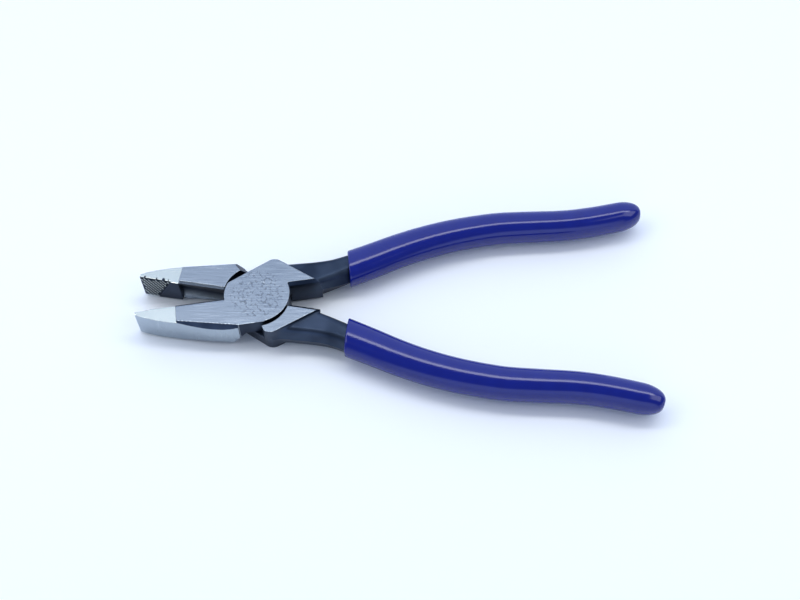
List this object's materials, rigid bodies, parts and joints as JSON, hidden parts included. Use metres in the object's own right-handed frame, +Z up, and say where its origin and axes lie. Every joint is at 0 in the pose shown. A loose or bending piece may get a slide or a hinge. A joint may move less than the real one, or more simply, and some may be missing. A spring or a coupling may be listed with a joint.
{
  "type": "lineman pliers",
  "caption": "Side-cutting lineman pliers with toothed flat gripping jaws, a flush riveted half-lap joint and plastic-dipped curved handles that open and close.",
  "frame": {"origin": "where the pivot axis meets the lower ground face of the joint, which the tool lies on", "axes": "+X from the pivot towards the handles, midway between them; +Y across the tool, towards the handle of the upper-lap half; +Z up along the pivot axis"},
  "size_m": [0.2319, 0.1106, 0.016],
  "materials": {
    "upper_half_steel": "ground faces, dark forged sides and handle root",
    "lower_half_steel": "ground faces, dark forged sides and handle root",
    "rivet_steel": "ground flush with the faces of the joint",
    "upper_grip_plastic": "smooth gloss dip",
    "lower_grip_plastic": "smooth gloss dip"
  },
  "bodies": {
    "upper_lever": {"upper_lap_half": "upper_half_steel", "pivot_rivet": "rivet_steel", "upper_lap_grip": "upper_grip_plastic"},
    "lower_lever": {"lower_lap_half": "lower_half_steel", "lower_lap_grip": "lower_grip_plastic"}
  },
  "joints": [
    {"name": "pivot", "type": "hinge", "parent": "upper_lever", "child": "lower_lever", "pos_m": [0, 0, 0.008], "axis": [0, 0, 1], "range_deg": [-12, 18.4]}
  ]
}
